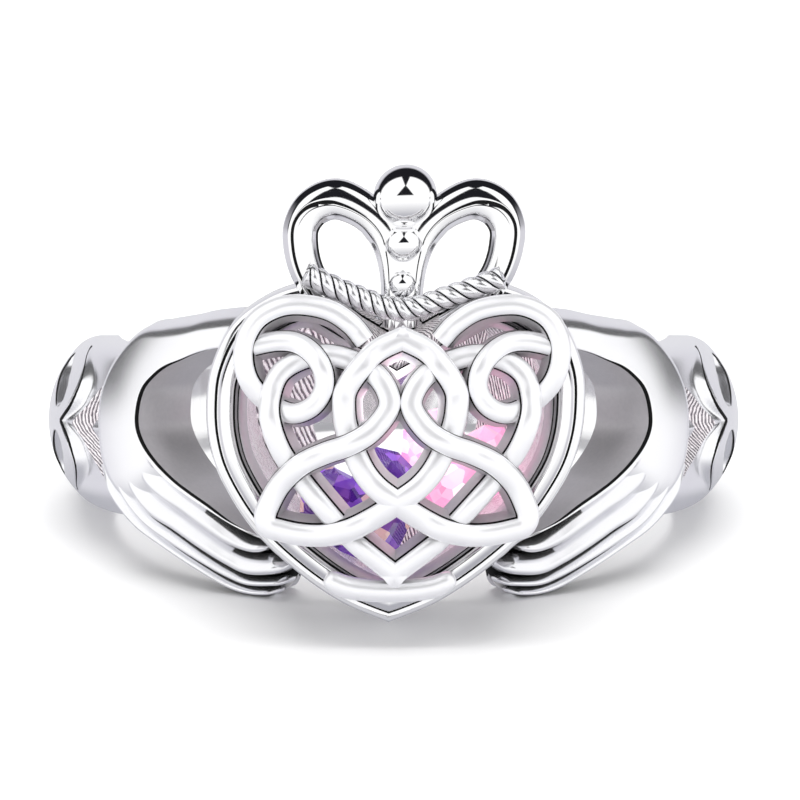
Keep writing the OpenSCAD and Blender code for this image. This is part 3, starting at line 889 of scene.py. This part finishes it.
def shoulder(side):
    """The frilled shoulder: two leaves with hollows, a collar before them and a slim tail."""
    shell = Shell()
    form = Shoulder()
    edge = curve(sized(SHOULDER, BORE_R, FRILL_W), 12)
    start, end, count, across = math.asin(-0.69), math.asin(0.97), 230, 90
    rings = []
    for i in range(count + 1):
        angle = start + (end - start) * i / count
        depth = BORE_R * math.sin(angle)
        half = next(
            a.y + (b.y - a.y) * (depth - a.x) / max(b.x - a.x, 1e-6)
            for a, b in zip(edge, edge[1:]) if b.x >= depth - 1e-6
        )
        points = []
        for j in range(across + 1):
            s = -math.cos(math.pi * j / across) * 0.35 + (2 * j / across - 1) * 0.65
            round_off = 0.3 * (1 - math.sqrt(max(0, 1 - max(0, (abs(s) - 0.88) / 0.12) ** 2)))
            points.append(form.point(side, depth, half * s, -round_off))
        points += [Vector((-side * BORE_R * math.cos(angle), BORE_R * math.sin(angle), half * s))
                   for s in (1, 0.5, 0, -0.5, -1)]
        rings.append(shell.ring(points))
    shell.skin(rings, lambda i, j: BUFFED)
    name = "left_shoulder" if side > 0 else "right_shoulder"
    made = piece(name, shell.finish(name), "ring_silver", "ring", angle=75)
    opening(made, side)

    # Painted dark lines of shade: along the collar's brace and along the back of each leaf's hollow
    lines = Shell()
    for mirror in (1, -1):
        reach = form.collar[-1].y * 0.7
        brace = [form.point(side, form.collar_at(z) - 0.02, ORNAMENT_Z + z * mirror)
                 for z in (reach * k / 40 for k in range(41))]
        n = len(brace)
        section = [(0.05, -0.06), (0.05, 0.012), (-0.05, 0.012), (-0.05, -0.06)]
        scales = [(1.0 - 0.9 * i / (n - 1), 1) for i in range(n)]
        swept(lines, brace, section, [PAINTED_DARK] * 4, outwards(brace), scales)
        back = [form.point(side, q.x, q.y) for q in evenly(form.leaf(mirror)[2:48], 60)]
        drawn(lines, back, 0.09)
    shade_lines_name = name + "_lines"
    return piece(shade_lines_name, lines.finish(shade_lines_name), "ring_silver", "ring")


def opening(made, side):
    """Cuts the crescent between the leaves and the heel of the hand, its walls left as cast, with the
    cast finish's painted pit shade and glints.
    """
    tool = Shell()
    outline = loop(sized(CRESCENT, BORE_R, FRILL_W), 4)
    inmost, outmost = 3, 14
    rings = [tool.ring([Vector((-side * x, p.x, p.y)) for p in outline]) for x in (inmost, outmost)]
    tool.skin(rings, lambda i, j: ROUGH, ROUGH)
    mesh = tool.finish("crescent_tool")
    dress(mesh)
    mesh.transform(LAY_DOWN)
    cutter = new_object("crescent_tool", mesh)
    pick(made)
    cut = made.modifiers.new("crescent", "BOOLEAN")
    cut.operation, cut.object, cut.solver, cut.material_mode = "DIFFERENCE", cutter, "EXACT", "INDEX"
    bpy.ops.object.modifier_apply(modifier=cut.name)
    bpy.data.objects.remove(cutter)


def band():
    """The plain back of the band, with its outer edges softened."""
    shell = Shell()
    half, r = BAND_W / 2, BORE_R + BAND_T
    section = [(BORE_R, -half), (r - 0.3, -half), (r - 0.1, 0.1 - half), (r - 0.02, 0.3 - half),
               (r, 0), (r - 0.02, half - 0.3), (r - 0.1, half - 0.1), (r - 0.3, half), (BORE_R, half)]
    rings, count, first, turn = [], 96, -8, 196
    for i in range(count + 1):
        a = math.radians(first + turn * i / count)
        rings.append(shell.ring([Vector((q * math.cos(a), q * math.sin(a), z)) for q, z in section]))
    shell.skin(rings, lambda i, j: POLISHED)
    return piece("band", shell.finish("band"), "ring_silver", "ring")


# The hands: each row is a line across the hand, from its outer edge to the opening, in inside
# radii to the left and hand widths up, with the groove's depth as a share and the top's height

HAND = [
    # outer edge       3rd groove         2nd groove         1st groove         opening
    ((-0.47, 0.455), (-0.47, 0.43), (-0.47, 0.4), (-0.47, 0.37), (-0.47, 0.345), 0.0, 1.0),
    ((-0.24, 0.475), (-0.23, 0.44), (-0.22, 0.41), (-0.21, 0.38), (-0.2, 0.345), 0.0, 1.0),
    ((-0.08, 0.465), (-0.085, 0.43), (-0.085, 0.4), (-0.09, 0.36), (-0.09, 0.325), 0.0, 1.0),
    ((0.025, 0.445), (0.02, 0.41), (0.015, 0.37), (0.005, 0.33), (0.0, 0.29), 0.0, 1.0),
    ((0.155, 0.425), (0.13, 0.385), (0.11, 0.345), (0.085, 0.305), (0.06, 0.265), 0.0, 1.0),
    ((0.28, 0.4), (0.235, 0.36), (0.19, 0.315), (0.15, 0.275), (0.105, 0.235), 0.0, 1.0),
    ((0.38, 0.305), (0.32, 0.275), (0.26, 0.245), (0.205, 0.215), (0.15, 0.19), 0.0, 1.0),
    ((0.44, 0.185), (0.37, 0.17), (0.305, 0.155), (0.235, 0.14), (0.17, 0.13), 0.0, 1.0),
    ((0.45, 0.05), (0.38, 0.05), (0.31, 0.05), (0.24, 0.05), (0.17, 0.055), 0.0, 1.0),
    ((0.425, -0.1), (0.35, -0.09), (0.28, -0.07), (0.205, -0.045), (0.135, -0.01), 0.0, 1.0),
    ((0.355, -0.205), (0.295, -0.195), (0.235, -0.18), (0.165, -0.14), (0.075, -0.07), 0.1, 1.0),
    ((0.25, -0.3), (0.205, -0.285), (0.155, -0.26), (0.09, -0.19), (0.0, -0.125), 0.75, 1.0),
    ((0.12, -0.37), (0.09, -0.35), (0.045, -0.31), (0.0, -0.235), (-0.06, -0.16), 1.0, 1.0),
    ((-0.025, -0.445), (-0.05, -0.42), (-0.075, -0.375), (-0.1, -0.295), (-0.14, -0.205), 1.0, 1.0),
    ((-0.15, -0.505), (-0.16, -0.47), (-0.175, -0.425), (-0.19, -0.345), (-0.225, -0.26), 1.0, 1.0),
    ((-0.245, -0.525), (-0.25, -0.495), (-0.26, -0.455), (-0.28, -0.37), (-0.3, -0.295), 1.0, 1.0),
    ((-0.31, -0.52), (-0.32, -0.505), (-0.33, -0.46), (-0.34, -0.36), (-0.35, -0.32), 1.0, 0.95),
    ((-0.36, -0.505), (-0.37, -0.49), (-0.38, -0.45), (-0.39, -0.37), (-0.39, -0.355), 1.0, 0.88),
    ((-0.39, -0.48), (-0.4, -0.465), (-0.41, -0.43), (-0.415, -0.4), (-0.41, -0.39), 1.0, 0.72),
    ((-0.405, -0.455), (-0.41, -0.45), (-0.415, -0.44), (-0.415, -0.43), (-0.415, -0.42), 1.0, 0.45),
]
GROOVE_D = 0.5
# Points of the curves to each row, and points across the palm before the ledge over the opening
ROW, ACROSS = 6, 39
# Each finger's lower line among the hand's five, its tip, and how far it sinks there
FINGERS = [(3, (-0.36, -0.335), 0.2), (2, (-0.415, -0.405), 0.2), (1, (-0.395, -0.47), 0.3),
           (0, (-0.345, -0.51), 0.5)]


class Hand:
    """The hand's five lines laid flat in millimetres, and where its points stand on the ring."""

    def __init__(self, side):
        self.side = side
        self.lines = [curve(sized([row[k] for row in HAND], BORE_R, HAND_W), ROW) for k in range(5)]
        self.shares = curve([(row[5], row[6]) for row in HAND], ROW)
        self.top_r, self.swell = BORE_R + HAND_T, HAND_W * 1.05

    def surface(self, p):
        """The radius of the hand's surface at a flat point."""
        return swollen(self.top_r, self.swell, p.y)

    def place(self, p, r):
        """A flat point wrapped round the finger at that radius."""
        angle = HAND_ANGLE + math.asin(max(-1, min(1, p.x / self.top_r)))
        return Vector((-self.side * r * math.sin(angle), -r * math.cos(angle), p.y))

    def across(self, i, c):
        """The point at row i that lies c lines in from the outer edge."""
        k = min(int(c), 3)
        return self.lines[k][i].lerp(self.lines[k + 1][i], c - k)


def rounding(d):
    """How far a hand's surface falls at a distance in millimetres from its outer edge."""
    steep, straight, whole = 1.13, 0.2, 0.62
    bend = whole - straight
    if d > whole:
        return 0.0
    turned = steep * min(1.0, (whole - d) / bend)
    return -bend / steep * math.log(math.cos(turned)) + max(0.0, straight - d) * math.tan(steep)


def hand_body(shell, form):
    """Thumb, heel and palm as one loft, which sinks under the fingers and is painted dark there as
    shade.
    """
    rings, skins = [], []
    for i, share in enumerate(form.shares):
        groove, top = max(0.0, share.x), share.y
        edge, crest = form.lines[3][i], form.lines[4][i]

        # The painted dark line of shade along the opening, thin at the thumb's root and at the
        # fingertips
        taper = smooth_step((i - 8) / 20) * smooth_step((15 * ROW - i) / 12)
        line = 0.004 + 0.055 * taper

        # Points from the outer edge to the ledge beside the first finger, and on to the opening
        ledge = 3.8 + 0.1 * smooth_step((i - 74) / 12)
        last = 4 - line / max((crest - edge).length, 0.2)
        spots = [ledge * j / (ACROSS - 1) for j in range(ACROSS)]
        spots += [min(ledge + 0.03, last - 0.005), last, 4]
        inwards = (crest - edge).normalized()
        points, metals = [form.place(form.lines[0][i], BORE_R + 0.02)], [WALL]
        for j, c in enumerate(spots):
            p, v = form.across(i, c), c / 4
            bevel = rounding((p - form.lines[0][i]).length) + 0.05 * smooth_step((v - 0.97) / 0.03)
            drop = GROOVE_D * groove + 0.4 * smooth_step((i - 14 * ROW) / 12) if j < ACROSS else 0
            r = BORE_R + (form.surface(p) - BORE_R - bevel - drop) * top
            points.append(form.place(p, r))

            # Painted dark under the fingers, as shade in the creases between them and round their
            # tips, and later along the first one
            painted_shade_from = 11 * ROW if j < ACROSS - 5 else 76
            metals.append(PAINTED_DARK if 1 < j < ACROSS and i > painted_shade_from else BUFFED)
        metals[-2] = metals[-1] = PAINTED_DARK if taper > 0.02 else BUFFED

        # The opening's wall, how far down and how far in, and the inside of the hand
        high = BORE_R + (form.surface(crest) - BORE_R - 0.05) * top
        walls = ((line, 0.004), (0.22, 0.03), (0.5, 0.09), (0.9, 0.14))
        for down, inward in walls:
            points.append(form.place(crest + inwards * inward, max(high - down, BORE_R + 0.3)))
            metals.append(WALL)
        points.append(form.place(crest + inwards * 0.14, BORE_R + 0.02))
        metals.append(WALL)
        for s in (0.75, 0.5, 0.25):
            points.append(form.place(form.lines[0][i].lerp(crest, s), BORE_R + 0.02))
            metals.append(WALL)
        rings.append(shell.ring(points))
        skins.append(metals)
    shell.skin(rings, lambda i, j: skins[i][j])


def finger(shell, form, k, tip, sink):
    """One finger from its knuckle to its round tip, steeper on its upper side."""
    marks, count = [], 80
    for i in (row * ROW for row in range(9, 16)):
        low, high = form.across(i, k), form.across(i, k + 1)
        if k == 3:
            high = form.across(i, 3.9 - 0.12 * smooth_step((i - 80) / 10))
        if k == 0:
            low = low + (low - high) * 0.12
        middle = (low + high) / 2
        marks.append((middle.x, middle.y, (high - low).length / 2))
    marks.append((tip[0] * BORE_R, tip[1] * HAND_W, marks[-1][2] * 0.85))

    # The middle line, with its points closer together towards the round tip
    fine = evenly(curve(marks, 12), 600)
    shares = [1 - (1 - m / (count - 1)) ** 1.8 for m in range(count)]
    path = [fine[round((len(fine) - 1) * share)] for share in shares]
    steps = [(b - a).length for a, b in zip(path, path[1:])]
    rings = []
    for i, p in enumerate(path):
        rest, done = sum(steps[i:]), sum(steps[:i])
        near = max(0.0, 1 - rest / (0.2 + p.z))
        round_off = max(0.04, math.sqrt(1 - near * near))
        ahead = path[min(i + 1, len(path) - 1)] - path[max(min(i, len(path) - 4) - 1, 0)]
        square = Vector((ahead.y, -ahead.x)).normalized()
        top = form.surface(p) - 0.02 - 0.16 * (1 - smooth_step(done / 0.9)) - sink * near * near
        points, sides, ridge = [], 24, 0.3
        for j in range(sides + 1):
            u = -math.cos(math.pi * j / sides)
            lean = (u - ridge) / (1 - ridge if u > ridge else 1 + ridge)
            down = 0.34 * max(0.0, -lean) ** 1.5 + 0.1 * max(0.0, lean) ** 2
            down += 0.95 * (1 - math.sqrt(max(0.0, 1 - abs(lean) ** 8)))
            q = Vector((p.x, p.y)) - square * (u * p.z * round_off)
            points.append(form.place(q, max(top - down - 0.3 * (1 - round_off), BORE_R + 0.1)))
        rings.append(shell.ring(points))

    def metal(i, j):
        """Painted dark shade along both edges, but not round the tip or on the first finger's
        knuckle.
        """
        to_tip, round_tip, knuckle = sum(steps[i:]), 0.35, 1.3
        bare = k == 3 and to_tip > knuckle
        edge = j < 4 or (j > sides - 4 and not bare)
        return PAINTED_DARK if edge and to_tip > round_tip else BUFFED

    shell.skin(rings, metal, BUFFED)


def hand(side):
    """One hand: its body, and four fingers laid on it."""
    name = "left_hand" if side > 0 else "right_hand"
    form = Hand(side)
    shell = Shell()
    hand_body(shell, form)
    for k, tip, sink in FINGERS:
        finger(shell, form, k, tip, sink)
    return piece(name, shell.finish(name), "ring_silver", "ring", angle=60)


# The stones


def stones():
    """The two loose stones keep their cut from the frame and get their colours here, with painted
    facet shade and glowing painted sparks.
    """
    # Each stone's dark colour, light colour and the colour of its painted sparks
    colours = {
        "purple_stone": ((0.04, 0.003, 0.16, 1), (0.36, 0.14, 0.8, 1), (0.95, 0.6, 0.45, 1)),
        "pink_stone": ((0.93, 0.36, 0.62, 1), (1.0, 0.9, 0.96, 1), (1.0, 0.97, 0.99, 1)),
    }
    for name, (dark, light, painted_spark_colour) in colours.items():
        node = frame["nodes"][name]
        node.data.materials.clear()
        node.data.materials.append(gem(name, dark, light, painted_spark_colour))


# Studio

CAMERA_UP = math.radians(16.1)
CAMERA_FAR, CAMERA_LENS, AIM_Z = 0.16, 229, 0.00455


def floor():
    """A white sweep that the ring lies on, rising softly behind it."""
    shell = Shell()
    lowest = cad_box[0].z / MM
    profile = [(-900, 0), (-300, 0), (-60, 0), (60, 0), (260, 0), (330, 8), (390, 35), (430, 80),
               (450, 150), (455, 600)]
    rings = [shell.ring([Vector((x, y, lowest + z)) for x in (-900, 900)]) for y, z in profile]
    for a, b in zip(rings, rings[1:]):
        shell.strip(a, b, closed=False)
    mesh = shell.finish("studio_floor")
    mesh.transform(Matrix.Scale(MM, 4))
    f = Finish(bpy.data.materials.new("floor_white"))
    grain = f.noise(3.0, 2.0)
    mesh.materials.append(f.surface(
        Base_Color=f.blend(grain, (0.93, 0.93, 0.93, 1), (0.96, 0.96, 0.96, 1)),
        Roughness=0.7,
    ))
    sweep = new_object("studio_floor", mesh)
    for polygon in mesh.polygons:
        polygon.use_smooth = True
    sweep.visible_glossy = False


def lamp(name, kind, place, watts, **settings):
    """A light that the silver doesn't mirror."""
    light = bpy.data.lights.new(name, kind)
    light.energy = watts
    for key, value in settings.items():
        setattr(light, key, value)
    made = new_object(name, light)
    made.location = place
    made.visible_glossy = False


def studio():
    """A white tent with a dark arc over two bright boxes, grey behind, and a soft light above."""
    world = bpy.data.worlds.new("light_tent")
    bpy.context.scene.world = world
    f = Finish(world)
    view = f.add("ShaderNodeTexCoord", output="Generated")
    front = Vector((0, -math.cos(CAMERA_UP), math.sin(CAMERA_UP)))
    above = Vector((0, math.sin(CAMERA_UP), math.cos(CAMERA_UP)))

    # Half way between a direction and the camera: what a mirror ball shows at each point
    half = f.add("ShaderNodeVectorMath", {"operation": "ADD"}, {0: view, 1: front}, "Vector")
    half = f.add("ShaderNodeVectorMath", {"operation": "NORMALIZE"}, {0: half}, "Vector")

    def along(axis):
        inputs = {0: half, 1: axis}
        return f.add("ShaderNodeVectorMath", {"operation": "DOT_PRODUCT"}, inputs, "Value")

    def step(value, low, high):
        inputs = {"Value": value, "From Min": low, "From Max": high}
        return f.add("ShaderNodeMapRange", {}, inputs, "Result")

    across, rise = along(Vector((1, 0, 0))), along(above)
    out = (across * across + rise * rise) ** 0.5
    pale = [(0.0, (1.0, 1.0, 1.0)), (0.78, (1.0, 1.0, 1.0)), (0.87, (0.62, 0.61, 0.66)),
            (1.0, (0.7, 0.7, 0.73))]
    tone = f.add("ShaderNodeValToRGB", {"stops": pale}, {"Fac": out}, "Color")
    tone = f.blend(step(rise, -0.2, -0.65), tone, (0.4, 0.4, 0.44, 1))
    boxes = (across / 0.78) ** 2 + (rise / 0.6) ** 2
    dark = step(boxes, 0.95, 1.05) * step(out, 0.9, 0.86) * step(rise, 0.0, 0.12)
    waist = 0.31
    below, over = (waist - rise).math("MAXIMUM", 0.0), (rise - waist).math("MAXIMUM", 0.0)
    gap = step(0.015 + 0.85 * below + 0.4 * over - across.math("ABSOLUTE"), -0.01, 0.01)
    gap = gap * step(rise, 0.0, 0.02) * step(out, 0.88, 0.86)
    lit = f.blend(dark.math("MAXIMUM", gap), tone, (0.012, 0.012, 0.015, 1))
    light = f.add("ShaderNodeBackground", {}, {"Color": lit, "Strength": 1.1})
    f.add("ShaderNodeOutputWorld", {}, {"Surface": light})
    lamp("top_light", "AREA", (0, 0, 0.45), 2.2, shape="RECTANGLE", size=0.45, size_y=0.45)
    lamp("cage_light", "POINT", (0, -0.0105, 0.0075), 0.0004, shadow_soft_size=0.8 * MM)


def camera():
    """Where the photo was taken from: in front of the heart and a little above it."""
    data = bpy.data.cameras.new("camera")
    data.lens, data.sensor_width, data.clip_start = CAMERA_LENS, 36, 0.01
    data.shift_x, data.shift_y = 0.008, -0.041
    made = new_object("camera", data)
    target = Vector((0, bore["pos_m"][1], AIM_Z))
    back = Vector((0, -math.cos(CAMERA_UP), math.sin(CAMERA_UP)))
    made.location = target + back * CAMERA_FAR
    made.rotation_euler = (-back).to_track_quat("-Z", "Y").to_euler()
    bpy.context.scene.camera = made
    bpy.context.scene.view_settings.view_transform = "Standard"


heart_cage()
knot()
knot_frame()
crown_loops()
crown_balls()
rope()
band()
for side in (1, -1):
    shoulder(side)
    hand(side)
stones()
floor()
studio()
camera()
